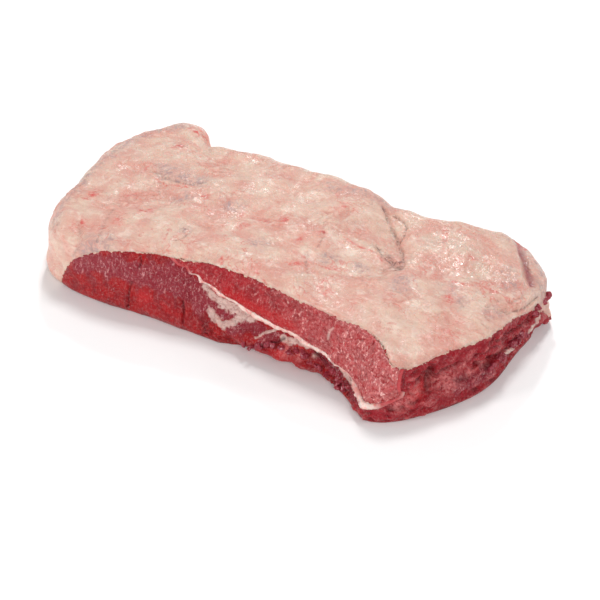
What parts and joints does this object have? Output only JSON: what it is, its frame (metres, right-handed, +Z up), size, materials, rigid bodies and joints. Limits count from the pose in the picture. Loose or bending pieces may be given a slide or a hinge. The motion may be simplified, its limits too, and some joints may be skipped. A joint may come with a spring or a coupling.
{
  "type": "raw beef flank with fat cover",
  "caption": "Whole untrimmed slab of raw beef flank: a fat cover over two red muscles with a thin white seam between them, cut along one side and one end.",
  "frame": {"origin": "middle of the whole slab's box, on the surface that it lies on", "axes": "+X along the slab towards its cut end, +Y from the cut long side to the fat-covered back, +Z up through the fat cover"},
  "size_m": [0.327, 0.177, 0.0528],
  "materials": {
    "fat": "soft raw fat, moist satin",
    "upper_lean": "cut raw lean, wet",
    "sinew": "moist white connective tissue",
    "lower_lean": "darker raw lean under a thin skin, wet"
  },
  "bodies": {
    "root": {"fat_cover": "fat", "upper_muscle": "upper_lean", "seam_membrane": "sinew", "lower_muscle": "lower_lean"}
  },
  "joints": []
}
